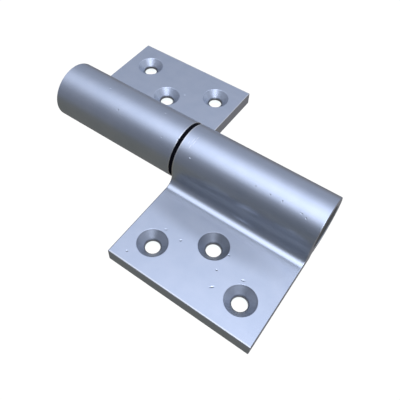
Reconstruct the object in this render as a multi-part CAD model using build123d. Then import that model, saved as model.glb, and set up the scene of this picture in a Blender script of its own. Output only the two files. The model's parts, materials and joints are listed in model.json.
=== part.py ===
from build123d import *
from math import cos, degrees, radians, sin, sqrt, tan
import os

# Self-closing flag hinge, in millimetres.
# Two lengths of one aluminium extrusion, each a round knuckle with a flat leaf, stand end to end
# on one shaft. The door leaf's knuckle holds a torsion spring that turns it back to the frame leaf.
# X runs along the hinge axis, Z is up from the leaves' back faces, and the origin lies on the
# back faces' plane, midway between the knuckles. The door leaf points to -Y, the frame leaf to +Y.

# Extrusion
leaf_length = 54.3
leaf_reach = 46.0
leaf_thickness = 5.5
barrel_d = 22.0
barrel_wall = 3.0
barrel_lift = 1.0
heel_height = 2.8
leaf_fillet = 3.4
heel_fillet = 1.0
edge_round = 0.4
end_break = 0.25

# Screw holes in the leaves
screw_hole_d = 5.3
countersink_d = 10.8
countersink_angle = 90.0
outer_hole_margin = 11.0
inner_hole_margin = 22.0
end_hole_margin = 10.0

# Fits
running_clearance = 0.05
seat_clearance = 0.03
inner_clearance = 0.1
axial_play = 0.05

# Washer between the knuckles
knuckle_gap = 1.4
washer_recess = 0.3

# Shaft
shaft_d = 8.0
shaft_flats = 6.4
shaft_tail_d = 5.6
shaft_tail_end = 1.2
shaft_seat = 3.4
shaft_tip_gap = 0.3
shaft_end_chamfer = 0.5

# Frame knuckle
frame_bush_length = 10.0
anchor_length = 16.0
anchor_screw_d = 5.0
anchor_screw_margin = 4.0
anchor_washer_d = 13.0
clip_d = 9.6
clip_groove_depth = 0.6
clip_opening = 3.6

# Door knuckle
door_bush_length = 8.0
hub_length = 6.0
hub_pin_d = 2.5
hub_pin_recess = 0.3
plug_length = 7.0
plug_socket = 5.0
plug_socket_depth = 2.4
lock_screw_d = 3.0
lock_screw_margin = 2.0
lock_positions = 6
ring_width = 1.6
ring_groove_depth = 0.5
ring_lug_d = 3.4
ring_lug_hole_d = 1.5
ring_opening_angle = 34.0

# Washers and retaining rings
washer_thickness = 0.8
clip_thickness = 0.8
ring_thickness = 1.0

# Grub screws
screw_recess = 0.3
screw_bite = 1.2
screw_tip_gap = 0.1
screw_socket_share = 0.5
screw_socket_depth = 1.4
screw_tip_chamfer = 0.5

# Torsion spring, wound from flat strip on its edge
strip_thickness = 0.95
strip_width = 3.6
coil_play = 0.5
coil_end_gap = 0.5
least_turn_gap = 0.2
leg_bend = 0.6
leg_tip_gap = 0.3
leg_slot_clearance = 0.25
spigot_over = 0.4

# End caps
cap_depth = 2.8
cap_recess = 0.1
cap_gap = 0.2
cap_lead = 0.5
cap_edge = 0.3

# Places that follow from the sizes. A station is a distance from a knuckle's inner end, along its axis.
barrel_r = barrel_d / 2
axis_height = barrel_r + barrel_lift
bore_r = barrel_r - barrel_wall
bore_d = 2 * bore_r
shaft_r = shaft_d / 2
heel_reach = sqrt(barrel_r**2 - (axis_height - heel_height)**2)
half_gap = knuckle_gap / 2
cut_over = 1.0

anchor_station = frame_bush_length
anchor_washer_station = anchor_station + anchor_length
clip_station = anchor_washer_station + washer_thickness + axial_play
shaft_tail_station = clip_station + clip_thickness + shaft_tail_end

thrust_station = door_bush_length + axial_play
hub_station = thrust_station + washer_thickness
hub_end_station = hub_station + hub_length
ring_station = leaf_length - cap_depth - cap_gap - ring_thickness
ring_washer_station = ring_station - axial_play - washer_thickness
plug_station = ring_washer_station - plug_length
lock_station = plug_station + plug_length - lock_screw_margin

coil_r = (shaft_r + bore_r) / 2
spigot_r = coil_r - strip_thickness / 2 - coil_play
spigot_length = coil_end_gap + strip_width + spigot_over
coil_station = hub_end_station + coil_end_gap + strip_width / 2
coil_rise = plug_station - coil_end_gap - strip_width / 2 - coil_station
coil_turns = int(coil_rise / (strip_width + least_turn_gap))
leg_bend_r = leg_bend + strip_thickness / 2

on_floor = (Align.CENTER, Align.CENTER, Align.MIN)
hexagon = 6

os.makedirs("parts", exist_ok=True)


def door_station(station):
    """A plane across the door knuckle: its x is +Y, its y is up and its normal leads away from the gap."""
    return Plane(origin=(half_gap + station, 0, axis_height), x_dir=(0, 1, 0), z_dir=(1, 0, 0))


def frame_station(station):
    """The same across the frame knuckle, which is the door knuckle turned half round about Z."""
    return Plane(origin=(-half_gap - station, 0, axis_height), x_dir=(0, -1, 0), z_dir=(-1, 0, 0))


def rod(diameter, length):
    return Cylinder(diameter / 2, length, align=on_floor)


def tube(outer_d, inner_d, length):
    return rod(outer_d, length) - rod(inner_d, length)


def save(name, solid):
    solid.label = name
    export_step(solid, os.path.join("parts", name + ".step"))


# Extruded leaves

def leaf_profile():
    """The extrusion's section without its bore: x leads from the axis to the leaf, y is height."""
    flank = Polygon(
        (heel_reach, 0),
        (leaf_reach, 0),
        (leaf_reach, leaf_thickness),
        (barrel_r, leaf_thickness),
        (barrel_r, axis_height),
        (heel_reach, axis_height),
        align=None,
    )
    section = flank + Pos(0, axis_height) * Circle(barrel_r)

    def corners(x, low, high):
        near = 0.01
        return [v for v in section.vertices() if abs(v.X - x) < near and low - near < v.Y < high + near]

    section = fillet(corners(barrel_r, leaf_thickness, leaf_thickness), leaf_fillet)
    section = fillet(corners(heel_reach, edge_round, axis_height - edge_round), heel_fillet)
    section = fillet(corners(heel_reach, 0, 0) + corners(leaf_reach, 0, leaf_thickness), edge_round)
    return section


def screw_places():
    """Centres of the three screw holes: station along the knuckle, distance from the axis."""
    outer_row = leaf_reach - outer_hole_margin
    inner_row = leaf_reach - inner_hole_margin
    return [
        (end_hole_margin, outer_row),
        (leaf_length / 2, inner_row),
        (leaf_length - end_hole_margin, outer_row),
    ]


def countersunk_hole():
    """A cutter that stands on the leaf's back face."""
    slope = tan(radians(countersink_angle / 2))
    depth = (countersink_d - screw_hole_d) / 2 / slope
    cone = Cone(screw_hole_d / 2, countersink_d / 2 + slope * cut_over, depth + cut_over, align=on_floor)
    hole = Pos(0, 0, -cut_over) * rod(screw_hole_d, leaf_thickness + cut_over)
    return hole + Pos(0, 0, leaf_thickness - depth) * cone


def leaf_blank():
    """The sawn, deburred, bored and drilled length, in the door leaf's place."""
    end = Plane(origin=(half_gap + leaf_length, 0, 0), x_dir=(0, -1, 0), z_dir=(-1, 0, 0))
    blank = extrude(end * leaf_profile(), leaf_length)
    ends = blank.faces().sort_by(Axis.X)
    blank = chamfer(ends[0].outer_wire().edges() + ends[-1].outer_wire().edges(), end_break)
    blank -= door_station(-cut_over) * rod(bore_d, leaf_length + 2 * cut_over)
    for station, reach in screw_places():
        blank -= Pos(half_gap + station, -reach, 0) * countersunk_hole()
    return blank


def underside_hole(plane, diameter):
    """A cutter from under the barrel up into its bore, across a station's plane."""
    down = Plane(origin=plane.origin, x_dir=plane.z_dir, z_dir=(0, 0, -1))
    return down * rod(diameter, barrel_d)


def door_leaf():
    leaf = leaf_blank()
    groove = rod(bore_d + 2 * ring_groove_depth, ring_thickness + 2 * axial_play)
    leaf -= door_station(ring_station - axial_play) * groove
    leaf -= underside_hole(door_station(lock_station), lock_screw_d)
    return leaf


def anchor_screw_stations():
    return (anchor_station + anchor_screw_margin, anchor_washer_station - anchor_screw_margin)


def frame_leaf():
    leaf = Rot(0, 0, 180) * leaf_blank()
    for station in anchor_screw_stations():
        leaf -= underside_hole(frame_station(station), anchor_screw_d)
    return leaf


# Bushes, washers and caps

def knuckle_washer():
    outer_d = barrel_d - 2 * washer_recess
    washer = tube(outer_d, shaft_d + 2 * inner_clearance, knuckle_gap - axial_play)
    return frame_station(0) * Rot(180, 0, 0) * washer


def bush(length):
    return tube(bore_d - 2 * seat_clearance, shaft_d + 2 * running_clearance, length)


def flat_washer(outer_d, inner_d):
    return tube(outer_d, inner_d, washer_thickness)


def end_cap():
    """A solid push-in cap, built outwards from its inner end."""
    cap = rod(bore_d - 2 * seat_clearance, cap_depth - cap_recess)
    cap = chamfer(cap.faces().sort_by(Axis.Z)[0].edges(), cap_lead)
    return chamfer(cap.faces().sort_by(Axis.Z)[-1].edges(), cap_edge)


# Shaft and its anchor

def shaft_square(size, clearance):
    """The shaft's squared section, whose corners are left round by the bar."""
    side = size + 2 * clearance
    return Circle(shaft_r + clearance) & Rectangle(side, side)


def hub_pin_plane():
    """Upright through the middle of the hub, square to the side where the spring's leg enters."""
    middle = door_station(hub_station + hub_length / 2).origin
    return Plane(origin=middle, x_dir=(1, 0, 0), z_dir=(0, 0, 1))


def hub_pin_hole():
    return hub_pin_plane() * Cylinder(hub_pin_d / 2 + seat_clearance, bore_d)


def pivot_shaft():
    journal = door_station(0) * Pos(0, 0, -half_gap) * rod(shaft_d, half_gap + plug_station + shaft_seat)
    journal += frame_station(0) * Pos(0, 0, -half_gap) * rod(shaft_d, half_gap + anchor_station)
    tip = journal.faces().sort_by(Axis.X)[-1].edges()
    journal = chamfer(tip, shaft_end_chamfer)
    square = extrude(frame_station(anchor_station) * shaft_square(shaft_flats, 0), anchor_length)
    tail = rod(shaft_tail_d, shaft_tail_station - anchor_washer_station)
    tail = chamfer(tail.faces().sort_by(Axis.Z)[-1].edges(), shaft_end_chamfer)
    groove_d = shaft_tail_d - 2 * clip_groove_depth
    groove = tube(shaft_tail_d, groove_d, clip_thickness + 2 * axial_play)
    tail -= Pos(0, 0, clip_station - axial_play - anchor_washer_station) * groove
    shaft = journal + square + frame_station(anchor_washer_station) * tail
    return shaft - hub_pin_hole()


def anchor_plug():
    plug = rod(bore_d - 2 * seat_clearance, anchor_length)
    plug -= extrude(shaft_square(shaft_flats, running_clearance), anchor_length)
    plug = frame_station(anchor_station) * plug
    for station in anchor_screw_stations():
        seat = screw_seat(anchor_screw_d)
        plug -= Pos(*frame_station(station).origin) * seat
    return plug


def screw_seat(diameter):
    """A cutter for a grub screw's tip in a plug, hanging from the axis."""
    reach = bore_r - seat_clearance - screw_bite
    return Pos(0, 0, -reach - bore_r) * rod(diameter + 2 * inner_clearance, bore_r)


def grub_screw(diameter):
    """A socket screw under the axis, its tip up in a plug's seat and its socket down."""
    top = axis_height - bore_r + seat_clearance + screw_bite - screw_tip_gap
    low = axis_height - barrel_r + screw_recess
    screw = rod(diameter - 2 * seat_clearance, top - low)
    screw = chamfer(screw.faces().sort_by(Axis.Z)[-1].edges(), screw_tip_chamfer)
    socket = RegularPolygon(diameter * screw_socket_share / 2, hexagon, major_radius=False)
    screw -= extrude(socket, screw_socket_depth)
    return Pos(0, 0, low) * screw


def anchor_screws():
    places = [frame_station(station).origin.X for station in anchor_screw_stations()]
    return Compound([Pos(x, 0, 0) * grub_screw(anchor_screw_d) for x in places])


def shaft_clip():
    """An open ring in the shaft's groove."""
    inner_d = shaft_tail_d - 2 * clip_groove_depth + 2 * seat_clearance
    ring = tube(clip_d, inner_d, clip_thickness)
    mouth = Box(clip_opening, clip_d, clip_thickness, align=(Align.CENTER, Align.MIN, Align.MIN))
    return ring - mouth


# Spring drive

def spigot(bore_clearance):
    """The collar that stands inside an end of the coil, around the shaft."""
    return tube(2 * spigot_r, shaft_d + 2 * bore_clearance, spigot_length)


def spring_hub():
    hub = tube(bore_d - 2 * inner_clearance, shaft_d + 2 * seat_clearance, hub_length)
    hub += Pos(0, 0, hub_length) * (spigot(seat_clearance) - leg_slot(start_leg()))
    return door_station(hub_station) * hub - hub_pin_hole()


def hub_pin():
    pin = Cylinder(hub_pin_d / 2, bore_d - 2 * inner_clearance - 2 * hub_pin_recess)
    return hub_pin_plane() * chamfer(pin.edges().filter_by(GeomType.CIRCLE), hub_pin_recess)


def coil_path():
    """Left-handed, so that opening the door winds it tighter."""
    return Helix(coil_rise / coil_turns, coil_rise, coil_r, lefthand=True)


def leg(place, along):
    """A leg's start on the coil, its level direction away from the coil and the way in to the axis."""
    level = Vector(along.X, along.Y, 0).normalized()
    inward = Vector(-place.X, -place.Y, 0).normalized()
    return place, level, inward


def start_leg():
    path = coil_path()
    return leg(path @ 0, (path % 0) * -1)


def end_leg():
    path = coil_path()
    return leg(path @ 1, path % 1)


def strip_section(place, along, inward):
    """The strip stands on its edge: its width lies along the axis, also where the coil climbs."""
    return Plane(origin=place, x_dir=inward, z_dir=along) * Rectangle(strip_thickness, strip_width)


def bent_leg(place, along, inward):
    """The strip's end, bent square inwards to stop just short of the shaft."""
    pivot = place + inward * leg_bend_r
    bend = revolve(strip_section(place, along, inward), Axis(pivot, along.cross(inward)), 90)
    length = coil_r - leg_bend_r - shaft_r - leg_tip_gap
    tip = strip_section(pivot + along * leg_bend_r, inward, along * -1)
    return bend + extrude(tip, length)


def leg_slot(bent):
    """A cutter for the slot in a spigot's wall that a leg stands in, open at the spigot's end."""
    place, along, inward = bent
    side = Plane(origin=along * leg_bend_r, x_dir=inward * -1, z_dir=(0, 0, 1))
    width = strip_thickness + 2 * leg_slot_clearance
    return side * Box(coil_r, width, spigot_length, align=(Align.MIN, Align.CENTER, Align.MIN))


def torsion_spring():
    path = coil_path()
    start, along, inward = start_leg()
    coil = sweep(strip_section(start, along * -1, inward), path=path, is_frenet=True)
    coil += bent_leg(*start_leg())
    coil += bent_leg(*end_leg())
    return door_station(coil_station) * coil


def tension_plug():
    """Holds the spring's far leg, carries the shaft's tip and turns to set the closing force."""
    plug = rod(bore_d - 2 * seat_clearance, plug_length)
    plug -= rod(shaft_d + 2 * running_clearance, shaft_seat + shaft_tip_gap)
    plug += Pos(0, 0, -spigot_length) * (spigot(running_clearance) - leg_slot(end_leg()))
    socket = RegularPolygon(plug_socket / 2, hexagon, major_radius=False)
    plug -= extrude(Pos(0, 0, plug_length - plug_socket_depth) * socket, plug_socket_depth)
    plug = door_station(plug_station) * plug
    around = Axis((0, 0, axis_height), (1, 0, 0))
    for place in range(lock_positions):
        seat = Pos(*door_station(lock_station).origin) * screw_seat(lock_screw_d)
        plug -= seat.rotate(around, 360 * place / lock_positions)
    return plug


def lock_screw():
    return Pos(door_station(lock_station).origin.X, 0, 0) * grub_screw(lock_screw_d)


def adjuster_ring():
    """An internal retaining ring: an open band in the bore's groove, with two drilled lugs."""
    outer_r = bore_r + ring_groove_depth - seat_clearance
    inner_r = outer_r - ring_width
    band = Circle(outer_r) - Circle(inner_r)
    lug_r = bore_r - seat_clearance - ring_lug_d / 2
    half_angle = ring_opening_angle / 2
    reach = 2 * outer_r
    mouth = Polygon(
        (0, 0),
        (reach * sin(radians(half_angle)), -reach * cos(radians(half_angle))),
        (-reach * sin(radians(half_angle)), -reach * cos(radians(half_angle))),
        align=None,
    )
    band -= mouth
    lug_angle = half_angle + degrees(ring_lug_d / 2 / lug_r)
    for side in (-1, 1):
        place = Pos(side * lug_r * sin(radians(lug_angle)), -lug_r * cos(radians(lug_angle)))
        band += place * Circle(ring_lug_d / 2)
        band -= place * Circle(ring_lug_hole_d / 2)
    return door_station(ring_station) * extrude(band, ring_thickness)


free_d = shaft_d + 2 * inner_clearance
idle_d = bore_d - 2 * inner_clearance
tail_free_d = shaft_tail_d + 2 * inner_clearance
cap_station = leaf_length - cap_depth

save("frame_leaf", frame_leaf())
save("frame_bush", frame_station(0) * bush(frame_bush_length))
save("anchor_plug", anchor_plug())
save("anchor_screws", anchor_screws())
save("anchor_washer", frame_station(anchor_washer_station) * flat_washer(anchor_washer_d, tail_free_d))
save("shaft_clip", frame_station(clip_station) * shaft_clip())
save("frame_end_cap", frame_station(cap_station) * end_cap())
save("pivot_shaft", pivot_shaft())
save("knuckle_washer", knuckle_washer())
save("thrust_washer", door_station(thrust_station) * flat_washer(idle_d, free_d))
save("spring_hub", spring_hub())
save("hub_pin", hub_pin())
save("door_leaf", door_leaf())
save("door_bush", door_station(0) * bush(door_bush_length))
save("torsion_spring", torsion_spring())
save("tension_plug", tension_plug())
save("lock_screw", lock_screw())
save("adjuster_washer", door_station(ring_washer_station) * flat_washer(idle_d, free_d))
save("adjuster_ring", adjuster_ring())
save("door_end_cap", door_station(cap_station) * end_cap())
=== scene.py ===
# %% [markdown]
# # A self-closing flag hinge, dressed in Blender
#
# The hinge is two lengths of one aluminium extrusion, each a round knuckle with a flat leaf, standing end to end
# on a sprung shaft. The construction is loaded as a fixed frame: its nodes have the true sizes and places, in
# metres. This notebook gives them their surfaces. The two leaves are modelled afresh, because a finely rounded,
# evenly shaded mesh shows satin metal better than the frame's coarse facets. The spring is copied and finished,
# and the other small parts keep their shapes and get finishes of their own.

# %% Load the frame
import json
import math
import bmesh
import bpy
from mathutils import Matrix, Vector


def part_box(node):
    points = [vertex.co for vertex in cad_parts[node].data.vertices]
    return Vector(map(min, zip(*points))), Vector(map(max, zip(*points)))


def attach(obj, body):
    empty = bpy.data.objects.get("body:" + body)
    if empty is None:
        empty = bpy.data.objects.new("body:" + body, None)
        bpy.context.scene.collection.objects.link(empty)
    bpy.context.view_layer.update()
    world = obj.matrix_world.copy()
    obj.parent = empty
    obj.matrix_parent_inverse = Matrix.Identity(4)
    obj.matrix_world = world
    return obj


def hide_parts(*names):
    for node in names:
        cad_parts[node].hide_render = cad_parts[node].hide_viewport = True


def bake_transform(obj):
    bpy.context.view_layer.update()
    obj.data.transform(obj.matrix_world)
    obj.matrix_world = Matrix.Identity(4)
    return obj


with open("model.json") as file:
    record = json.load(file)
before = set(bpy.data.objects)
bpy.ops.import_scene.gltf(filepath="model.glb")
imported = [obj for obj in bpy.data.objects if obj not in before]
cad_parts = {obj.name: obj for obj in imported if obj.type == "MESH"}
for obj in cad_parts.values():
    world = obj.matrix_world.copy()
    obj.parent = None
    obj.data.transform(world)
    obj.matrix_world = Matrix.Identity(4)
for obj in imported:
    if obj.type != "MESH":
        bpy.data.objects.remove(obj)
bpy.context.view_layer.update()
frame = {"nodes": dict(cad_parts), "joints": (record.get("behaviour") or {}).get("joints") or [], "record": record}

print("frame nodes:", sorted(frame["nodes"]))

# %% [markdown]
# ## Sizes
#
# Everything is worked out from the frame's boxes and from the mounts in its record. Only sizes
# that no box shows, such as fillets, are named here, in millimetres times `mm`.

# %% Sizes from the frame
mm = 0.001
leaf_low, leaf_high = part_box("door_leaf")
barrel_r = leaf_high[1]
axis_z = frame["joints"][0]["pos_m"][2]
leaf_reach = -leaf_low[1]
inner_end = leaf_low[0]
outer_end = leaf_high[0]
leaf_length = outer_end - inner_end
fit_play = 0.03 * mm
bore_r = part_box("door_end_cap")[1][1] + fit_play

leaf_thickness = 5.5 * mm
leaf_fillet = 3.4 * mm
heel_height = 2.8 * mm
heel_fillet = 1.0 * mm
edge_round = 0.4 * mm
end_break = 0.25 * mm
countersink_r = 5.4 * mm

mounts = {mount["name"]: mount for mount in frame["record"]["mounts"]}
hole_r = mounts["door_middle_screw"]["dims"]["r_mm"] * mm
outer_row = mounts["door_outer_screws"]["pos_m"]
middle_hole = mounts["door_middle_screw"]["pos_m"]
half_spacing = mounts["door_outer_screws"]["dims"]["spacing_x_mm"] * mm / 2
screw_holes = [
    (outer_row[0] - half_spacing, outer_row[1]),
    (outer_row[0] + half_spacing, outer_row[1]),
    (middle_hole[0], middle_hole[1]),
]
all_holes = screw_holes + [(-x, -y) for x, y in screw_holes]
print("in mm: knuckle radius", round(barrel_r / mm, 3), "bore radius", round(bore_r / mm, 3),
      "axis height", round(axis_z / mm, 3))
print("screw holes in mm:", [(round(x / mm, 2), round(y / mm, 2)) for x, y in screw_holes])

# %% [markdown]
# ## Working by hand, in code
#
# Each helper below does what a modeller's hands do: let go of everything, take one piece, pick
# its vertices, edges or faces by where they lie, and apply a modifier. Buttons in the window
# would do the same, but a script can be run again after a size has changed.

# %% Small helpers
def let_go():
    """Nothing stays selected, so that an operator acts only on what is picked next."""
    if bpy.context.object and bpy.context.object.mode == "EDIT":
        bpy.ops.object.mode_set(mode="OBJECT")
    bpy.ops.object.select_all(action="DESELECT")


def take(piece):
    """One piece is active and selected, and nothing else."""
    let_go()
    bpy.context.view_layer.objects.active = piece
    piece.select_set(True)


def pick(piece, wanted, kind="VERT"):
    """In edit mode, selects the vertices, edges or faces for which wanted(part) is true."""
    bpy.ops.mesh.select_mode(type=kind)
    bpy.ops.mesh.select_all(action="DESELECT")
    mesh = bmesh.from_edit_mesh(piece.data)
    parts = {"VERT": mesh.verts, "EDGE": mesh.edges, "FACE": mesh.faces}[kind]
    count = 0
    for part in parts:
        if wanted(part):
            part.select_set(True)
            count += 1
    mesh.select_flush_mode()
    bmesh.update_edit_mesh(piece.data)
    return count


def apply_modifier(piece, kind, **settings):
    """Adds a modifier with these settings and bakes it into the mesh."""
    take(piece)
    modifier = piece.modifiers.new(kind.title(), kind)
    for name, value in settings.items():
        setattr(modifier, name, value)
    bpy.ops.object.modifier_apply(modifier=modifier.name)


def settle(piece):
    """Puts the piece's origin at the world's, unturned and unscaled, with its place in its mesh."""
    take(piece)
    bpy.ops.object.transform_apply(location=True, rotation=True, scale=True)
    bpy.ops.object.mode_set(mode="EDIT")
    bpy.ops.mesh.select_all(action="SELECT")
    bpy.ops.mesh.remove_doubles(threshold=0.001 * mm)
    bpy.ops.mesh.normals_make_consistent(inside=False)
    bpy.ops.object.mode_set(mode="OBJECT")


def shade(piece, crease=32):
    """Smooth over curves and crisp at creases, in degrees, with flat faces kept truly flat."""
    take(piece)
    bpy.ops.object.shade_smooth_by_angle(angle=math.radians(crease))
    apply_modifier(piece, "WEIGHTED_NORMAL", keep_sharp=True)


def tell(piece):
    """Says how fine a piece is."""
    piece.data.calc_loop_triangles()
    print(piece.name, "has", len(piece.data.loop_triangles), "triangles")


let_go()

# %% [markdown]
# ## The extrusion's section
#
# The real leaf is pushed through a die, so its section is the shape that matters: a round
# knuckle, a small inside fillet where the leaf begins, and a heel under the knuckle that sits on
# the door. It could be cut from a cylinder and a block, but then the fillets would be added
# afterwards. Drawing the section as a pen line, with straight runs extruded from one point and
# round runs spun about their centres, puts each arc where the die has it.

# %% A pen: straight runs are extruded, round runs are spun
def start_pen(name, y, z):
    """One vertex to draw from: a small triangle merged to its centre."""
    let_go()
    bpy.ops.mesh.primitive_circle_add(vertices=3, radius=mm, location=(0, 0, 0))
    pen = bpy.context.object
    pen.name = name
    bpy.ops.object.mode_set(mode="EDIT")
    bpy.ops.mesh.select_all(action="SELECT")
    bpy.ops.mesh.merge(type="CENTER")
    bpy.ops.transform.translate(value=(inner_end, y, z))
    return pen


def tip(pen):
    """Where the pen is now."""
    mesh = bmesh.from_edit_mesh(pen.data)
    return next(vertex for vertex in mesh.verts if vertex.select).co.copy()


def run_to(pen, y, z):
    """A straight run to (y, z)."""
    here = tip(pen)
    step = (0, y - here.y, z - here.z)
    bpy.ops.mesh.extrude_region_move(TRANSFORM_OT_translate={"value": step})


def spin_by(centre_y, centre_z, turn, steps):
    """An arc about a centre. Turn is from Y towards Z, and the spin operator's is the other way."""
    centre = (inner_end, centre_y, centre_z)
    bpy.ops.mesh.spin(
        steps=steps, angle=-turn, center=centre, axis=(1, 0, 0), use_auto_merge=False)


def round_to(pen, y, z, centre_y, centre_z, steps):
    """An arc to (y, z) about a centre, the short way round."""
    here = tip(pen)
    start = math.atan2(here.z - centre_z, here.y - centre_y)
    end = math.atan2(z - centre_z, y - centre_y)
    turn = (end - start + math.pi) % (2 * math.pi) - math.pi
    spin_by(centre_y, centre_z, turn, steps)


# %% Draw the section, looking along the hinge's axis
def draw_section(name):
    """Down the knuckle's front, out along the leaf's top, back along its foot and round."""
    round_steps = 5
    fillet_steps = 14
    knuckle_steps = 132
    pen = start_pen(name, -barrel_r, axis_z)

    fillet_y = -barrel_r - leaf_fillet
    fillet_z = leaf_thickness + leaf_fillet
    run_to(pen, -barrel_r, fillet_z)
    round_to(pen, fillet_y, leaf_thickness, fillet_y, fillet_z, fillet_steps)

    corner_y = -leaf_reach + edge_round
    corner_z = leaf_thickness - edge_round
    run_to(pen, corner_y, leaf_thickness)
    round_to(pen, -leaf_reach, corner_z, corner_y, corner_z, round_steps)
    run_to(pen, -leaf_reach, edge_round)
    round_to(pen, corner_y, 0, corner_y, edge_round, round_steps)

    heel_y = -math.sqrt(barrel_r**2 - (axis_z - heel_height)**2)
    run_to(pen, heel_y - edge_round, 0)
    round_to(pen, heel_y, edge_round, heel_y - edge_round, edge_round, round_steps)
    hollow_y = heel_y + heel_fillet
    hollow_z = axis_z - math.sqrt((barrel_r + heel_fillet)**2 - hollow_y**2)
    run_to(pen, heel_y, hollow_z)
    share = barrel_r / (barrel_r + heel_fillet)
    join_y = hollow_y * share
    join_z = axis_z + (hollow_z - axis_z) * share
    round_to(pen, join_y, join_z, hollow_y, hollow_z, fillet_steps)

    rest_of_knuckle = math.pi - math.atan2(join_z - axis_z, join_y)
    spin_by(0, axis_z, rest_of_knuckle, knuckle_steps)
    return pen


blank = draw_section("leaf_blank")
bpy.ops.mesh.select_all(action="SELECT")
bpy.ops.mesh.remove_doubles(threshold=0.002 * mm)
bpy.ops.mesh.edge_face_add()
section = bmesh.from_edit_mesh(blank.data)
print("section has", len(section.verts), "points and", len(section.faces), "face of",
      [round(face.calc_area() / mm**2, 1) for face in section.faces], "mm2")

# %% [markdown]
# ## Length and sawn ends
#
# The section is extruded to the leaf's length, as the bar is. The ends are sawn and then
# deburred, which leaves a bevel of a quarter of a millimetre that catches a thin bright line.
# A Bevel modifier could find them by their angle, but picking the end edges by their place
# leaves the section's own small arcs alone for certain.

# %% Extrude the bar and break its end edges
bpy.ops.mesh.select_all(action="SELECT")
bpy.ops.mesh.extrude_region_move(TRANSFORM_OT_translate={"value": (leaf_length, 0, 0)})
bpy.ops.mesh.select_all(action="SELECT")
bpy.ops.mesh.normals_make_consistent(inside=False)


def around_an_end(edge):
    """Edges of an end face, and not the long ones that join the two ends."""
    level = 0.01 * mm
    first, second = (vertex.co for vertex in edge.verts)
    return abs(first.x - second.x) < level


end_edges = pick(blank, around_an_end, "EDGE")
bpy.ops.mesh.bevel(offset=end_break, segments=2, profile=0.6, clamp_overlap=False, affect="EDGES")
bpy.ops.object.mode_set(mode="OBJECT")
print("broke", end_edges, "end edges")
tell(blank)

# %% [markdown]
# ## Bore and countersunk holes
#
# The knuckle is bored right through, and the leaf is drilled and countersunk for flat-headed
# screws. A drilled rim is never a knife edge: its burr is taken off, and the light finds the tiny
# bevel that is left. Beveling the rims afterwards would work, but here each cutter has the whole
# shape of the hole, bevels and all, so that one Boolean makes it. The cutters are turned shapes:
# a disc is drawn up and spread, step by step.

# %% Turned shapes
def turned(name, steps, corners=96):
    """A round solid about Z: a disc, drawn up and spread through (radius, height) steps."""
    let_go()
    radius, height = steps[0]
    bpy.ops.mesh.primitive_circle_add(
        vertices=corners, radius=radius, fill_type="NGON", location=(0, 0, height))
    piece = bpy.context.object
    piece.name = name
    bpy.ops.object.transform_apply(location=True)
    bpy.ops.object.mode_set(mode="EDIT")
    bpy.ops.mesh.select_all(action="SELECT")
    for next_radius, next_height in steps[1:]:
        rise = next_height - height
        bpy.ops.mesh.extrude_region_move(TRANSFORM_OT_translate={"value": (0, 0, rise)})
        if next_radius != radius:
            growth = next_radius / radius
            bpy.ops.transform.resize(
                value=(growth, growth, 1), center_override=(0, 0, next_height))
        radius, height = next_radius, next_height
    bpy.ops.mesh.select_all(action="SELECT")
    bpy.ops.mesh.normals_make_consistent(inside=False)
    bpy.ops.object.mode_set(mode="OBJECT")
    return piece


def stand_at(piece, x, y):
    """Moves an upright turned piece over the point (x, y)."""
    piece.location = (x, y, 0)
    take(piece)
    bpy.ops.object.transform_apply(location=True)


def lay_along_x(piece, start):
    """Lays an upright turned piece along the hinge's axis, its foot at start."""
    take(piece)
    piece.rotation_euler = (0, math.radians(90), 0)
    piece.location = (start, 0, axis_z)
    bpy.ops.object.transform_apply(location=True, rotation=True)


def cut(piece, cutter):
    """Takes the cutter's shape out of the piece, and throws the cutter away."""
    apply_modifier(piece, "BOOLEAN", operation="DIFFERENCE", solver="EXACT", object=cutter)
    bpy.data.objects.remove(cutter)


# %% Bore the knuckle and drill the leaf
over = mm
rim = 0.2 * mm
mouth = 0.08 * mm
cone_foot = leaf_thickness - (countersink_r - hole_r)


def bore_cutter():
    """Right through the knuckle, with a small lead at each end."""
    lead = bore_r + rim
    bore = turned("bore_cutter", [
        (lead, -over), (lead, 0), (bore_r, rim),
        (bore_r, leaf_length - rim), (lead, leaf_length), (lead, leaf_length + over)], corners=128)
    lay_along_x(bore, inner_end)
    return bore


def screw_cutter(x, y):
    """Through hole, 90 degree cone and their two softened rims."""
    drill = turned("screw_cutter", [
        (hole_r + mouth, -over), (hole_r + mouth, 0), (hole_r, mouth),
        (hole_r, cone_foot), (countersink_r - mouth, leaf_thickness - mouth),
        (countersink_r + mouth, leaf_thickness), (countersink_r + mouth, leaf_thickness + over)])
    stand_at(drill, x, y)
    return drill


cut(blank, bore_cutter())
for x, y in screw_holes:
    cut(blank, screw_cutter(x, y))
tell(blank)

# %% [markdown]
# ## Two leaves from one blank
#
# The frame leaf is the same bar turned half round. The copy is turned in edit mode, about the
# world's middle: a turned object would give the same shape, but a pattern on its own coordinates
# would be turned with it. After that each leaf gets what only it has: the door leaf a groove for
# the ring that holds its spring and one grub screw hole, the frame leaf two grub screw holes.

# %% Copy and turn
blank.name = "anodised_door_leaf"
door_leaf = blank
take(door_leaf)
bpy.ops.object.duplicate(linked=False)
frame_leaf = bpy.context.object
frame_leaf.name = "anodised_frame_leaf"
bpy.ops.object.mode_set(mode="EDIT")
bpy.ops.mesh.select_all(action="SELECT")
bpy.ops.transform.rotate(value=math.pi, orient_axis="Z", center_override=(0, 0, 0))
bpy.ops.object.mode_set(mode="OBJECT")
tell(frame_leaf)

# %% Grub screw holes and the ring's groove
def middle_of(node):
    """The middle of a node's box."""
    low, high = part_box(node)
    return (Vector(low) + Vector(high)) / 2


def drill_underside(leaf, x, radius):
    """From below the knuckle up into its bore."""
    drill = turned("underside_cutter", [(radius, -over), (radius, axis_z / 2)], corners=64)
    stand_at(drill, x, 0)
    cut(leaf, drill)


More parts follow.
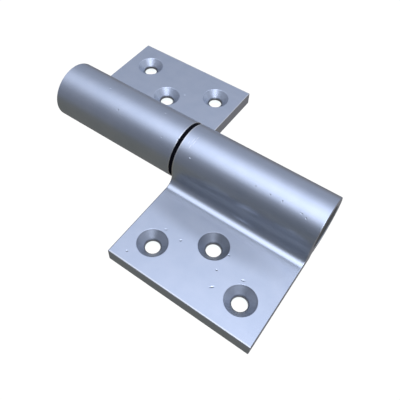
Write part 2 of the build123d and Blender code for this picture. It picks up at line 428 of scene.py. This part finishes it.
anchor_low, anchor_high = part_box("anchor_screws")
anchor_hole_r = 2.5 * mm
anchor_screw_r = (anchor_high[1] - anchor_low[1]) / 2
for x in (anchor_low[0] + anchor_screw_r, anchor_high[0] - anchor_screw_r):
    drill_underside(frame_leaf, x, anchor_hole_r)

lock_hole_r = 1.5 * mm
drill_underside(door_leaf, middle_of("lock_screw").x, lock_hole_r)
ring_low, ring_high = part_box("adjuster_ring")
play = 0.05 * mm
groove_r = ring_high[1] + fit_play
groove_length = ring_high[0] - ring_low[0] + 2 * play
groove = turned("groove_cutter", [(groove_r, 0), (groove_r, groove_length)], corners=128)
lay_along_x(groove, ring_low[0] - play)
cut(door_leaf, groove)

# %% Finish both leaves and put them in the frame's places
for leaf, node, body in ((door_leaf, "door_leaf", "door"), (frame_leaf, "frame_leaf", "frame")):
    settle(leaf)
    shade(leaf)
    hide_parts(node)
    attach(leaf, body)
    tell(leaf)

# %% [markdown]
# ## Materials
#
# A finish could be a photograph of the metal wrapped round the piece, but that needs a file and
# blurs close up. Here every pattern is worked out by nodes from Object coordinates, so it stays
# with the metal and is sharp at any distance. What is the same all over a piece is set on the
# shader's own socket.

# %% A material and its shader
def new_finish(name, **settings):
    """A material, its node tree and its shader, with the shader's sockets set by name."""
    finish = bpy.data.materials.new(name)
    finish.use_nodes = True
    shader = finish.node_tree.nodes["Principled BSDF"]
    for socket, value in settings.items():
        shader.inputs[socket.replace("_", " ")].default_value = value
    return finish, finish.node_tree, shader


def add_node(tree, kind, **inputs):
    """A node with some of its inputs set by name."""
    node = tree.nodes.new(kind)
    for name, value in inputs.items():
        node.inputs[name].default_value = value
    return node


def pattern_place(tree, scale=(1, 1, 1)):
    """Object coordinates, stretched."""
    source = tree.nodes.new("ShaderNodeTexCoord")
    mapping = add_node(tree, "ShaderNodeMapping", Scale=scale)
    tree.links.new(source.outputs["Object"], mapping.inputs["Vector"])
    return mapping.outputs["Vector"]


def noise(tree, place, scale, detail=3.0):
    """Soft random blotches, about one over scale across."""
    node = add_node(tree, "ShaderNodeTexNoise", Scale=scale, Detail=detail, Roughness=0.5)
    tree.links.new(place, node.inputs["Vector"])
    return node.outputs["Fac"]


def spread(tree, value, low, high):
    """Maps a noise's middle range to low and high."""
    noise_low, noise_high = 0.3, 0.7
    node = add_node(tree, "ShaderNodeMapRange")
    for name, limit in (("From Min", noise_low), ("From Max", noise_high),
                        ("To Min", low), ("To Max", high)):
        node.inputs[name].default_value = limit
    tree.links.new(value, node.inputs["Value"])
    return node.outputs["Result"]


def mix(tree, factor, first, second, kind="MIX"):
    """Mixes two colours by a factor. Each colour is a plain (r, g, b) or another node's output."""
    node = tree.nodes.new("ShaderNodeMix")
    node.data_type = "RGBA"
    node.blend_type = kind
    tree.links.new(factor, node.inputs["Factor"])
    for name, colour in (("A", first), ("B", second)):
        if isinstance(colour, tuple):
            node.inputs[name].default_value = (*colour, 1)
        else:
            tree.links.new(colour, node.inputs[name])
    return node.outputs["Result"]


def bump(tree, shader, height, strength, distance):
    """Makes the shader's surface rise where height does."""
    node = add_node(tree, "ShaderNodeBump", Strength=strength, Distance=distance)
    tree.links.new(height, node.inputs["Height"])
    tree.links.new(node.outputs["Normal"], shader.inputs["Normal"])
    return node


def paint(finish, *pieces):
    """Gives the pieces this finish and no other."""
    for piece in pieces:
        piece.data.materials.clear()
        piece.data.materials.append(finish)
    print(finish.name, "on", [piece.name for piece in pieces])


# %% [markdown]
# ### Masks
#
# A mask is 1 where a finish shows and 0 elsewhere. It could be brushed on by hand, but the marks
# of this hinge lie at known distances: from a hole's axis, from an edge or from a dent's middle.
# So the masks are arithmetic on Object coordinates, with a soft step at the end.

# %% Arithmetic, soft steps and distances
def maths(tree, kind, first, second=None):
    """One step of arithmetic on numbers or on other nodes' outputs."""
    node = tree.nodes.new("ShaderNodeMath")
    node.operation = kind
    for socket, value in zip(node.inputs, (first, second)):
        if isinstance(value, (int, float)):
            socket.default_value = value
        elif value is not None:
            tree.links.new(value, socket)
    return node.outputs["Value"]


def fade(tree, value, at_zero, at_one):
    """A soft step: 0 where the value is at_zero and 1 where it is at_one."""
    node = add_node(tree, "ShaderNodeMapRange")
    node.interpolation_type = "SMOOTHSTEP"
    node.inputs["From Min"].default_value = at_zero
    node.inputs["From Max"].default_value = at_one
    tree.links.new(value, node.inputs["Value"])
    return node.outputs["Result"]


def near_edge(tree, value, edge, way, band):
    """A soft step beside an edge. The band says where it begins and where it is full, counted
    from the edge, and way is 1 or -1: towards higher or lower values."""
    begins, full = band
    return fade(tree, value, edge + way * begins, edge + way * full)


def distance_from(tree, centre, reach, turn=(0, 0, 0)):
    """How far a point lies from a centre, counted in the half axes of a turned ellipsoid."""
    source = tree.nodes.new("ShaderNodeTexCoord")
    mapping = add_node(tree, "ShaderNodeMapping", Location=centre, Rotation=turn, Scale=reach)
    mapping.vector_type = "TEXTURE"
    tree.links.new(source.outputs["Object"], mapping.inputs["Vector"])
    size = tree.nodes.new("ShaderNodeVectorMath")
    size.operation = "LENGTH"
    tree.links.new(mapping.outputs["Vector"], size.inputs[0])
    return size.outputs["Value"]


def combine(tree, kind, values):
    """The minimum, maximum or product of many values."""
    result = values[0]
    for value in values[1:]:
        result = maths(tree, kind, result, value)
    return result


def tone_ramp(tree, value, steps, tint=(1, 1, 1)):
    """Tones by place, from (place, tone) steps, all of one tint."""
    node = tree.nodes.new("ShaderNodeValToRGB")
    tree.links.new(value, node.inputs["Fac"])
    elements = node.color_ramp.elements
    while len(elements) < len(steps):
        elements.new(0.5)
    for element, (place, tone) in zip(elements, steps):
        element.position = place
        element.color = (*(share * tone for share in tint), 1)
    return node.outputs["Color"]


def place_parts(tree, kind="Object"):
    """The three numbers of the Object coordinates, or of another kind."""
    source = tree.nodes.new("ShaderNodeTexCoord")
    place = tree.nodes.new("ShaderNodeSeparateXYZ")
    tree.links.new(source.outputs[kind], place.inputs["Vector"])
    return [place.outputs[axis] for axis in "XYZ"]


# %% [markdown]
# ### Satin anodised aluminium
#
# The bar is etched to a satin before it is anodised, which leaves a soft, slightly blue silver.
# Three scales make it: fine etched grain, faint lines that the die left along the bar, and slow
# cloudy changes of tone. On top of that comes what the workshop and its use have done, one mask
# at a time, in the cells below.

# %% Sizes and tones of the etched bar
etched_grain = 2600
slow_clouds = 160
die_line_stretch = (14, 900, 900)
etched_dark, etched_light = (0.74, 0.79, 0.88), (0.80, 0.84, 0.92)
satin_roughness = (0.325, 0.355)
print("etched grain is about", round(1 / etched_grain / mm, 2), "mm across")

# %% [markdown]
# ### Painted light and shade in the holes, and what the countersinking tool leaves
#
# The holes' walls are painted bright: painted light from the white under them. At the top of the wall, a dark ring
# of painted shade reaches over the foot of the cone. The cone is cut by a blunt tool, duller than the etched bar,
# and its tone is darker, darkest near its rim. The far leaf's cones are painted lighter than the near leaf's, as
# lit and shaded copies of one finish. A paint brush could follow the rings, but one ramp by the distance from the
# nearest axis holds all of these tones, and they stay round.

# %% Tones by distance from a hole's axis
ramp_reach = 12 * mm


def from_holes(tree):
    """Distance from the nearest screw hole's axis, as a share of the ramp's reach."""
    flat = (mm, mm, 1)
    nearest = combine(
        tree, "MINIMUM", [distance_from(tree, (x, y, 0), flat) for x, y in all_holes])
    return maths(tree, "MULTIPLY", nearest, mm / ramp_reach)


def hole_tones(cone, near_rim, at_rim):
    """Tones outwards from the axis: painted bright wall, painted shade at the cone's foot, cone and rim."""
    painted_bright_wall, painted_shade_foot, clean_bar = 1.5, 0.22, 1.0
    outwards = [
        (hole_r, painted_bright_wall), (hole_r + 0.05 * mm, painted_shade_foot),
        (hole_r + 0.20 * mm, 0.56 * cone), (hole_r + 0.50 * mm, cone),
        (countersink_r - 0.60 * mm, cone), (countersink_r - 0.30 * mm, near_rim),
        (countersink_r - 0.14 * mm, at_rim), (countersink_r - 0.04 * mm, clean_bar)]
    return [(radius / ramp_reach, tone) for radius, tone in outwards]


# the near leaf's cones are painted darker and the far leaf's lighter: shaded and lit copies of one finish
shaded_near_cone_tones = hole_tones(cone=0.79, near_rim=0.70, at_rim=0.75)
lit_far_cone_tones = hole_tones(cone=0.88, near_rim=0.84, at_rim=0.88)
print("steps of tone round each hole:", len(shaded_near_cone_tones))

# %% [markdown]
# ### Corners and edges
#
# The near leaf lies partly in the lee of its knuckle, and the foot of each fillet catches a bright line. The lamps
# alone give too little of both, so two soft tones are painted on the metal: painted shade in the lee and a painted
# highlight along the fillet's foot. Long edges and the rims at the gap get a painted highlight, and the sawn end
# of the door leaf is darker. An edge could be found by its curvature, but then every edge would be toned alike. So
# each one is named by its place, with a band: where the tone begins and where it is full, counted from the edge.

# %% Painted shade in the lee of the knuckle and a painted highlight at the inside corner
painted_shade_middle = (22 * mm, -20 * mm, leaf_thickness)
painted_shade_reach = (38 * mm, 7.8 * mm, 4 * mm)
painted_shade_full = 0.3
fillet_foot = barrel_r + leaf_fillet
foot_up_band = (1.3 * mm, 0.7 * mm)
foot_out_band = (3.0 * mm, -0.4 * mm)


def painted_lee_shade(tree):
    """A long soft oval of painted shade beside the near leaf's fillet."""
    return fade(tree, distance_from(tree, painted_shade_middle, painted_shade_reach), 1.0, painted_shade_full)


def painted_fillet_highlight(tree):
    """A painted highlight at the foot of each leaf's fillet, where it runs out into the flat."""
    _, y, z = place_parts(tree)
    low = near_edge(tree, z, leaf_thickness, 1, foot_up_band)
    near = near_edge(tree, maths(tree, "ABSOLUTE", y), fillet_foot, 1, foot_out_band)
    return maths(tree, "MULTIPLY", low, near)


print("the fillets run out at", round(fillet_foot / mm, 2), "mm from the axis")

# %% Painted highlights on the edges, and the darker sawn end
top_band = (0.35 * mm, 0.15 * mm)
brink_band = (0.62 * mm, 0.50 * mm)
door_rim_band = (0.56 * mm, 0.46 * mm)
frame_rim_band = (0.40 * mm, 0.32 * mm)
sawn_band = (0.36 * mm, 0.26 * mm)
side_band = 0.1 * mm
frame_rim_share = 0.6


def edge_highlights_and_sawn_end(tree):
    """Two masks: a painted highlight on the top edges and the rims at the gap, and darker, at a sawn end."""
    x, y, z = place_parts(tree)
    from_axis = maths(tree, "ABSOLUTE", y)
    on_knuckle = fade(tree, from_axis, barrel_r + side_band, barrel_r)
    on_leaf = maths(tree, "SUBTRACT", 1.0, on_knuckle)
    on_door = fade(tree, x, 0, side_band)
    on_frame = fade(tree, x, 0, -side_band)
    at_top = near_edge(tree, z, leaf_thickness, -1, top_band)
    at_brink = near_edge(tree, from_axis, leaf_reach, -1, brink_band)
    door_rim = maths(
        tree, "MULTIPLY", near_edge(tree, x, inner_end, 1, door_rim_band), on_door)
    frame_rim = maths(
        tree, "MULTIPLY", near_edge(tree, x, -inner_end, -1, frame_rim_band), on_frame)
    bright = combine(tree, "MAXIMUM", [
        combine(tree, "MULTIPLY", [door_rim, on_knuckle]),
        combine(tree, "MULTIPLY", [frame_rim, on_knuckle, frame_rim_share]),
        combine(tree, "MULTIPLY", [frame_rim, on_leaf, at_top]),
        combine(tree, "MULTIPLY", [at_brink, at_top])])
    sawn = near_edge(tree, x, inner_end, 1, sawn_band)
    dull = combine(tree, "MULTIPLY", [sawn, on_door, on_leaf])
    return bright, dull


# the painted highlight on the front edges reaches this far at its widest
print("edges are worn over", round(brink_band[0] / mm, 2), "mm at most")

# %% [markdown]
# ### Dents and scratches
#
# The leaves have been knocked about in a box with others: some twenty small dents, and a group of fine scratches
# across the knuckle beside the gap. Random specks would be quicker, but real knocks are few and each has its own
# length and direction. So they are listed, each as a small turned ellipsoid about its place, in millimetres:
# place, half length, half width and direction in degrees. Both are pressed in by bump, and toned lighter as a
# painted glint.

# %% The list of marks
leaf_top = leaf_thickness / mm
dents = [
    (5.9, -42.4, leaf_top, 0.60, 0.42, 20), (17.8, -28.8, leaf_top, 0.62, 0.42, 60),
    (35.4, -36.6, leaf_top, 1.25, 0.42, 45), (33.4, -30.8, leaf_top, 0.50, 0.38, 0),
    (42.2, -28.9, leaf_top, 0.85, 0.42, 20), (33.7, -24.0, leaf_top, 0.58, 0.38, 0),
    (11.3, -28.3, leaf_top, 0.70, 0.34, 30), (-21.9, 28.7, leaf_top, 0.55, 0.38, 20),
    (-35.3, -0.3, 22.9, 0.38, 0.28, 0), (-27.2, -5.8, 21.3, 0.50, 0.24, 0),
    (6.3, -7.7, 19.9, 0.36, 0.28, 0), (-11.2, 1.6, 22.9, 0.45, 0.26, 0),
    (-6.7, -6.6, 20.8, 0.32, 0.24, 0), (-0.95, -5.0, 21.8, 0.35, 0.55, 0),
    (30.7, -5.9, 21.3, 0.30, 0.22, 0), (36.1, -6.0, 21.2, 0.34, 0.22, 40),
    (40.5, -6.0, 21.2, 0.22, 0.50, 0), (47.5, -6.4, 20.9, 0.55, 0.22, 0),
    (49.4, -6.9, 20.6, 0.32, 0.26, 0)]
scratches = [
    (4.0, -2.7, 22.7, 1.30, 0.18, 86), (4.8, -3.2, 22.5, 1.25, 0.18, 85),
    (4.3, -4.9, 21.8, 0.95, 0.17, 88), (4.8, -1.3, 22.9, 1.00, 0.16, 83),
    (3.1, -4.0, 22.2, 0.70, 0.15, 87)]
dent_height = 0.5 * mm
scratch_height = 2.5 * mm


def mark_mask(tree, marks, half_height):
    """1 in the middle of each mark and 0 round it."""
    masks = []
    for x, y, z, half_length, half_width, turn in marks:
        away = distance_from(
            tree, centre=(x * mm, y * mm, z * mm),
            reach=(half_length * mm, half_width * mm, half_height),
            turn=(0, 0, math.radians(turn)))
        masks.append(fade(tree, away, 1.0, 0.0))
    return combine(tree, "MAXIMUM", masks)


print(len(dents), "dents and", len(scratches), "scratches")

# %% [markdown]
# ### Putting the layers together
#
# Colour goes on in layers, from the widest to the smallest: the etched bar, the painted shade in the lee and the
# painted highlight at the fillet's foot, the dents and the edges, and last the holes, which darken all that lies
# under them. They could be mixed in any order, but a layer hides those before it. The edges, the scratches and the
# dents get a tone a little over 1: a painted highlight, where the lamp would glint off them.

# %% Etched, dented, with painted shade and painted highlights
painted_shade_tone, painted_shade_share = (0.20, 0.21, 0.23), 0.34
fillet_highlight_tone, fillet_highlight_share = (0.90, 0.94, 1.0), 0.8
dent_glint_tone, dent_share = (1.2, 1.25, 1.3), 0.45
painted_highlight_tone = (1.35, 1.38, 1.40)
sawn_tone = (0.36, 0.38, 0.42)


def bar_colour(tree, clouds, dent_mask, scratch_mask):
    """The bar's colour before its holes are drilled."""
    def in_part(mask, share):
        return maths(tree, "MULTIPLY", mask, share)

    painted_edge_highlight, sawn = edge_highlights_and_sawn_end(tree)
    tone = mix(tree, spread(tree, clouds, 0, 1), etched_dark, etched_light)
    # painted shade in the lee of the knuckle, on the near leaf
    tone = mix(tree, in_part(painted_lee_shade(tree), painted_shade_share), tone, painted_shade_tone)
    # painted highlight at the foot of each fillet
    tone = mix(tree, in_part(painted_fillet_highlight(tree), fillet_highlight_share), tone, fillet_highlight_tone)
    # a painted glint on the dents
    tone = mix(tree, in_part(dent_mask, dent_share), tone, dent_glint_tone)
    # painted highlight on the top edges, the rims at the gap and the scratches
    tone = mix(tree, maths(tree, "MAXIMUM", painted_edge_highlight, scratch_mask), tone, painted_highlight_tone)
    return mix(tree, sawn, tone, sawn_tone)


# %% Drilled and countersunk
# painted shade: a dark band at the top of each hole's wall, over the foot of the cone
wall_shade_tone = (0.10, 0.10, 0.10)
wall_shade_down_band = (1.0 * mm, 0.75 * mm)
wall_shade_out_band = (0.06 * mm, 0.02 * mm)
back_band = (0.02 * mm, 0.10 * mm)
cone_inner_band = (0, 0.05 * mm)
cone_outer_band = (0, -0.05 * mm)
cone_dullness = 0.09


def drilled(tree, colour):
    """The colour with the holes' tones over it, painted light and shade among them, and the extra roughness of
    their cones.
    """
    _, y, z = place_parts(tree)
    away = from_holes(tree)
    above_back = near_edge(tree, z, 0, 1, back_band)

    def by_radius(radius, band):
        shares = [width / ramp_reach for width in band]
        return near_edge(tree, away, radius / ramp_reach, 1, shares)

    # shaded tones on the near leaf, lit tones on the far leaf: painted light and shade
    hole_tone = mix(tree, fade(tree, y, -mm, mm),
                    tone_ramp(tree, away, shaded_near_cone_tones),
                    tone_ramp(tree, away, lit_far_cone_tones))
    # painted shade at the top of each hole's wall
    under_cone = near_edge(tree, z, cone_foot, -1, wall_shade_down_band)
    on_wall = by_radius(hole_r, wall_shade_out_band)
    hole_tone = mix(tree, maths(tree, "MULTIPLY", under_cone, on_wall), hole_tone, wall_shade_tone)

    inside_rim = by_radius(countersink_r, cone_outer_band)
    outside_wall = by_radius(hole_r, cone_inner_band)
    dull = combine(tree, "MULTIPLY", [inside_rim, outside_wall, above_back, cone_dullness])
    return mix(tree, above_back, colour, hole_tone, kind="MULTIPLY"), dull


# %% Anodised aluminium
def anodised():
    finish, tree, shader = new_finish("satin_anodised", Metallic=1.0, Roughness=0.34)
    place = pattern_place(tree)
    grain = noise(tree, place, etched_grain)
    clouds = noise(tree, place, slow_clouds)
    die_lines = noise(tree, pattern_place(tree, die_line_stretch), 1.0, detail=2)
    dent_mask = mark_mask(tree, dents, dent_height)
    scratch_mask = mark_mask(tree, scratches, scratch_height)

    colour, dull = drilled(tree, bar_colour(tree, clouds, dent_mask, scratch_mask))
    tree.links.new(colour, shader.inputs["Base Color"])
    satin = spread(tree, die_lines, *satin_roughness)
    tree.links.new(maths(tree, "ADD", satin, dull), shader.inputs["Roughness"])

    scratch_depth = 0.15
    marks = maths(tree, "MAXIMUM", dent_mask, maths(tree, "MULTIPLY", scratch_mask, scratch_depth))
    fine = bump(tree, shader, grain, strength=0.10, distance=0.02 * mm)
    deep = bump(tree, shader, marks, strength=1.0, distance=0.16 * mm)
    deep.invert = True
    tree.links.new(fine.outputs["Normal"], deep.inputs["Normal"])
    print("nodes in the anodised finish:", len(tree.nodes))
    return finish


paint(anodised(), door_leaf, frame_leaf)

# %% [markdown]
# ### Plastics
#
# The washer between the knuckles is black nylon, turned and dry, so it gives back almost
# nothing. The end caps are moulded in grey with the fine matt texture of their mould, and the
# bushes are nylon in its own warm white. A single colour would look like paint, so each has a
# fine grain that changes both its tone and its surface.

# %% Plastics
def plastic(name, dark, light, roughness, grain_size, depth, **settings):
    finish, tree, shader = new_finish(name, Roughness=roughness, **settings)
    grain = noise(tree, pattern_place(tree), 1 / grain_size)
    tone = mix(tree, spread(tree, grain, 0, 1), dark, light)
    tree.links.new(tone, shader.inputs["Base Color"])
    bump(tree, shader, grain, strength=0.3, distance=depth)
    return finish


black_nylon = plastic(
    "washer_nylon", dark=(0.002, 0.002, 0.004), light=(0.005, 0.005, 0.009),
    roughness=0.7, grain_size=0.4 * mm, depth=0.02 * mm, Specular_IOR_Level=0.08)
grey_plastic = plastic(
    "moulded_grey", dark=(0.115, 0.117, 0.115), light=(0.145, 0.148, 0.146),
    roughness=0.55, grain_size=0.3 * mm, depth=0.03 * mm)
white_nylon = plastic(
    "bush_nylon", dark=(0.78, 0.76, 0.68), light=(0.85, 0.83, 0.76),
    roughness=0.45, grain_size=0.5 * mm, depth=0.01 * mm)
nodes = frame["nodes"]
paint(black_nylon, nodes["knuckle_washer"])
paint(grey_plastic, nodes["frame_end_cap"], nodes["door_end_cap"])
paint(white_nylon, nodes["frame_bush"], nodes["door_bush"])

# %% [markdown]
# ### Steels and bronze
#
# Inside, the shaft and its pin are ground bright, the plugs and washers are zinc plated, the
# screws and rings are blackened and the spring is oiled strip. All are metal with fine marks.
# They could share one grey, but the marks tell how each was made: drawn out round the axis where
# a piece was turned, along the strip where it was rolled, and the same all ways where it was
# plated. Stretching one noise does that.

# %% Steels
def steel(name, dark, light, roughness, stretch):
    """Turned, rolled or plated metal: fine marks, drawn out one way or none."""
    finish, tree, shader = new_finish(name, Metallic=1.0, Roughness=roughness)
    marks = noise(tree, pattern_place(tree, stretch), 1.0)
    tone = mix(tree, spread(tree, marks, 0, 1), dark, light)
    tree.links.new(tone, shader.inputs["Base Color"])
    mottled = spread(tree, marks, roughness * 0.85, roughness * 1.15)
    tree.links.new(mottled, shader.inputs["Roughness"])
    bump(tree, shader, marks, strength=0.15, distance=0.005 * mm)
    return finish


turned_marks = (9000, 500, 500)
rolled_marks = (4000, 700, 700)
bright_steel = steel(
    "ground_steel", (0.52, 0.52, 0.53), (0.64, 0.64, 0.65), 0.22, turned_marks)
plated_steel = steel(
    "zinc_plate", (0.46, 0.48, 0.50), (0.60, 0.61, 0.63), 0.34, (1500, 1500, 1500))
black_steel = steel(
    "blackened_steel", (0.03, 0.03, 0.032), (0.07, 0.07, 0.072), 0.42, (2500, 2500, 2500))
spring_steel = steel(
    "oiled_spring_strip", (0.22, 0.22, 0.23), (0.36, 0.36, 0.37), 0.30, rolled_marks)
bronze = steel(
    "bearing_bronze", (0.42, 0.27, 0.12), (0.58, 0.38, 0.18), 0.36, (2000, 2000, 2000))
paint(bright_steel, nodes["pivot_shaft"], nodes["hub_pin"])
paint(plated_steel, nodes["anchor_plug"], nodes["anchor_washer"], nodes["spring_hub"],
      nodes["tension_plug"], nodes["adjuster_washer"])
paint(black_steel, nodes["anchor_screws"], nodes["lock_screw"], nodes["shaft_clip"],
      nodes["adjuster_ring"])
paint(bronze, nodes["thrust_washer"])

# %% [markdown]
# ### The closing spring
#
# The real coil's near leg stays in the hub, its far leg goes round with the tension plug, and the turns between
# them share the door's swing. The frame's own coil rides on the door as one stiff piece, which would turn its near
# leg out of the hub's slot. A merged copy of it takes its place, smooth shaded and finished as oiled strip.

# %% Copy the coil
take(nodes["torsion_spring"])
bpy.ops.object.duplicate(linked=False)
coil = bpy.context.object
coil.name = "closing_spring"
coil.parent = None
settle(coil)
shade(coil)
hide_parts("torsion_spring")
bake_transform(coil)
paint(spring_steel, coil)
tell(coil)

# %% [markdown]
# ## Floor, light and camera
#
# The floor is plain and white and gives nothing back to the metal, as in a cut-out product
# photograph. A lit floor would throw its light up into the knuckle, so it glows by itself and is
# hidden from every ray but the camera's.

# %% Floor
white_strength = 1.05
floor_size = 6.0
floor_level = -0.05 * mm


def glowing(name, colour, strength):
    """A plain colour that is the same brightness whatever the light."""
    card = bpy.data.materials.new(name)
    card.use_nodes = True
    tree = card.node_tree
    tree.nodes.clear()
    glow = add_node(tree, "ShaderNodeEmission", Color=(*colour, 1), Strength=strength)
    output = tree.nodes.new("ShaderNodeOutputMaterial")
    tree.links.new(glow.outputs["Emission"], output.inputs["Surface"])
    return card


let_go()
bpy.ops.mesh.primitive_plane_add(size=floor_size, location=(0, 0, floor_level))
floor = bpy.context.object
floor.name = "floor"
floor.data.materials.append(glowing("white_floor", (1, 1, 1), white_strength))
floor.visible_glossy = False
floor.visible_diffuse = False
floor.visible_shadow = False
print("floor at", floor_level / mm, "mm")

# %% [markdown]
# ### White paper under the holes
#
# The holes' walls are bright in a photograph, because the white table lies right under them. The
# floor gives nothing, so each hole gets a small disc of white paper. It is white to the camera,
# and to rays that come from close by after one meeting with the metal, which are those from a
# hole's wall. On a surface, Ray Depth reads 1 for them. To all others the paper is dim, so that
# neither the cones nor the knuckle's flank show it as a bright spot.

# %% Paper discs
paper_dim = 0.14
hole_reach = 9 * mm
one_meeting = 1.5
paper_margin = 0.4 * mm
paper_level = -0.03 * mm

paper = glowing("white_paper", (1, 1, 1), white_strength)
paper_tree = paper.node_tree
paper_ray = paper_tree.nodes.new("ShaderNodeLightPath")
close = maths(paper_tree, "LESS_THAN", paper_ray.outputs["Ray Length"], hole_reach)
direct = maths(paper_tree, "LESS_THAN", paper_ray.outputs["Ray Depth"], one_meeting)
nearby = maths(paper_tree, "MULTIPLY", close, direct)
shown = maths(paper_tree, "MAXIMUM", nearby, paper_ray.outputs["Is Camera Ray"])
added = maths(paper_tree, "MULTIPLY", shown, white_strength - paper_dim)
paper_glow = maths(paper_tree, "ADD", added, paper_dim)
paper_tree.links.new(paper_glow, paper_tree.nodes["Emission"].inputs["Strength"])
for number, (x, y) in enumerate(all_holes):
    let_go()
    bpy.ops.mesh.primitive_circle_add(
        vertices=48, radius=hole_r + paper_margin, fill_type="NGON", location=(x, y, paper_level))
    patch = bpy.context.object
    patch.name = "floor_patch_" + str(number)
    patch.data.materials.append(paper)
    patch.visible_shadow = False
    print(patch.name, "at", round(x / mm, 2), round(y / mm, 2))

# %% [markdown]
# ### The softbox
#
# The light is one big softbox overhead, which draws the broad bright band along the knuckle.
# Satin metal shows how a light fades towards its edge, so a lamp of even brightness would give
# hard-edged bands. The softbox is painted on the world instead: every direction of the room gets
# a brightness, from a ramp that runs from the bright middle, nearly straight up, to the dim room
# near the horizon. Its light is slightly blue, as an overcast window's is.

# %% The softbox, fading from straight up to the horizon
world = bpy.data.worlds.new("studio")
bpy.context.scene.world = world
world.use_nodes = True
room = world.node_tree
room.nodes.clear()
along, back, up = place_parts(room, "Generated")

softbox_lean = 0.08
softbox_tint = (0.905, 1.0, 1.23)
softbox_steps = [
    (0.00, 1.42), (0.08, 1.32), (0.20, 1.18), (0.32, 1.08), (0.40, 0.98), (0.48, 0.86),
    (0.60, 0.615), (0.73, 0.435), (0.83, 0.345), (0.90, 0.32), (1.00, 0.30)]
across = maths(room, "ADD", back, softbox_lean)
along_squared = maths(room, "MULTIPLY", along, along)
across_squared = maths(room, "MULTIPLY", across, across)
off_middle = maths(room, "SQRT", maths(room, "ADD", along_squared, across_squared))
softbox = tone_ramp(room, off_middle, softbox_steps, softbox_tint)
print("softbox falls from", softbox_steps[0][1], "to", softbox_steps[-1][1])

# %% [markdown]
# ### The dim sides of the room
#
# The photographer and the camera stand in front, where the room is dim, more so on the right.
# The knuckle's flank mirrors them, which gives it its dark band. Below the horizon the metal
# sees a dim grey, because the white floor is hidden from it. Each side is a mask by direction,
# with soft ends, because the edge of a hard one would show on the metal as a line.

# %% In front, and below
front_right_colour, front_left_colour = (0.095, 0.108, 0.132), (0.157, 0.170, 0.208)
floor_front_colour, floor_back_colour = (0.137, 0.139, 0.128), (0.168, 0.160, 0.158)
to_left = fade(room, along, -0.15, -0.45)
front_right = fade(room, back, -0.42, -0.76)
front_left = fade(room, back, -0.14, -0.98)
left_extra = maths(room, "MULTIPLY", to_left, maths(room, "SUBTRACT", front_left, front_right))
in_front = maths(room, "ADD", front_right, left_extra)
front_colour = mix(room, to_left, front_right_colour, front_left_colour)
dimmed = mix(room, in_front, softbox, front_colour)

to_back = fade(room, back, -0.2, 0.3)
below = fade(room, up, 0.05, -0.25)
floor_colour = mix(room, to_back, floor_front_colour, floor_back_colour)
print("nodes in the room so far:", len(room.nodes))

# %% [markdown]
# ### A second lamp, and a bright wall
#
# A smaller lamp hangs over the photographer's right shoulder. The far leaf's cones face it with
# their far sides and show it as a bright wedge, while the near leaf's catch only its edge. The
# wall at the back right is brighter than the rest of the room, and lights the cones' left sides.

# %% Lamp and wall
lamp_direction = (0.38, -0.45, 0.81)
lamp_edge, lamp_core = 0.34, 0.21
lamp_colour = (2.3, 2.5, 3.0)
wall_colour = (0.50, 0.56, 0.68)
direction = room.nodes.new("ShaderNodeTexCoord")
from_lamp = room.nodes.new("ShaderNodeVectorMath")
from_lamp.operation = "DISTANCE"
room.links.new(direction.outputs["Generated"], from_lamp.inputs[0])
from_lamp.inputs[1].default_value = lamp_direction
in_lamp = fade(room, from_lamp.outputs["Value"], lamp_edge, lamp_core)
lamplit = mix(room, in_lamp, dimmed, lamp_colour)
back_right = maths(room, "MULTIPLY", fade(room, along, 0.2, 0.5), fade(room, back, 0.38, 0.60))
lit = mix(room, back_right, lamplit, wall_colour)
print("lamp direction:", lamp_direction)

# %% [markdown]
# ### The photographer's arms
#
# What the near leaf throws up onto the knuckle's flank comes from over the photographer's arms,
# which are darker than the room. Modelled arms would be seen from other sides. So light that has
# met the metal twice finds a darker colour in that direction: in the room, Ray Depth reads 2
# after one meeting and 3 after two. The back of the room is a little brighter on the right, and
# the near leaf shows it as it brightens towards its right end.

# %% Arms on the second bounce, and light from the back
arms_colour = (0.066, 0.072, 0.084)
back_lift = 0.10
ray = room.nodes.new("ShaderNodeLightPath")
twice = fade(room, ray.outputs["Ray Depth"], 2.25, 2.75)
arms = maths(room, "MULTIPLY", twice, fade(room, back, -0.12, -0.34))
around_colour = mix(room, below, mix(room, arms, lit, arms_colour), floor_colour)
to_right = fade(room, along, -0.35, -0.05)
lift = combine(room, "MULTIPLY", [to_right, fade(room, back, 0.10, 0.35), back_lift])
room_strength = maths(room, "ADD", 1.0, lift)
print("nodes in the room:", len(room.nodes))

# %% [markdown]
# ### White behind the hinge
#
# The picture's background is white, as a cut-out's is, but a white room would wash the metal out.
# So the camera sees white past the floor's edge, and everything else sees the room.

# %% White to the camera, the room to everything else
seen = add_node(room, "ShaderNodeBackground", Color=(1, 1, 1, 1), Strength=white_strength)
around = room.nodes.new("ShaderNodeBackground")
choose = room.nodes.new("ShaderNodeMixShader")
sky = room.nodes.new("ShaderNodeOutputWorld")
room.links.new(around_colour, around.inputs["Color"])
room.links.new(room_strength, around.inputs["Strength"])
room.links.new(ray.outputs["Is Camera Ray"], choose.inputs["Fac"])
room.links.new(around.outputs["Background"], choose.inputs[1])
room.links.new(seen.outputs["Background"], choose.inputs[2])
room.links.new(choose.outputs["Shader"], sky.inputs["Surface"])
print("the camera sees white at strength", white_strength)

# %% [markdown]
# ### The camera
#
# The camera stands where the photographer stood: above the near right corner, looking down at
# about fifty degrees. Its place, turn and lens were solved from the hinge's straight and round
# edges, so they aren't round numbers. Plain colour management keeps the metal's tones as they
# were worked out.

# %% Camera
camera_data = bpy.data.cameras.new("photo_camera")
camera_data.sensor_width = 36
camera_data.lens = 44.4135
camera_data.shift_x = 0.049644
camera_data.shift_y = -0.052527
camera_data.clip_start = 0.01
camera = bpy.data.objects.new("photo_camera", camera_data)
camera.location = (0.066074, -0.09717, 0.148042)
camera.rotation_euler = tuple(math.radians(turn) for turn in (37.514, -0.426, 36.0908))
bpy.context.scene.collection.objects.link(camera)
bpy.context.scene.camera = camera
bpy.context.scene.view_settings.view_transform = "Standard"
print("camera at", [round(v / mm, 1) for v in camera.location], "mm")
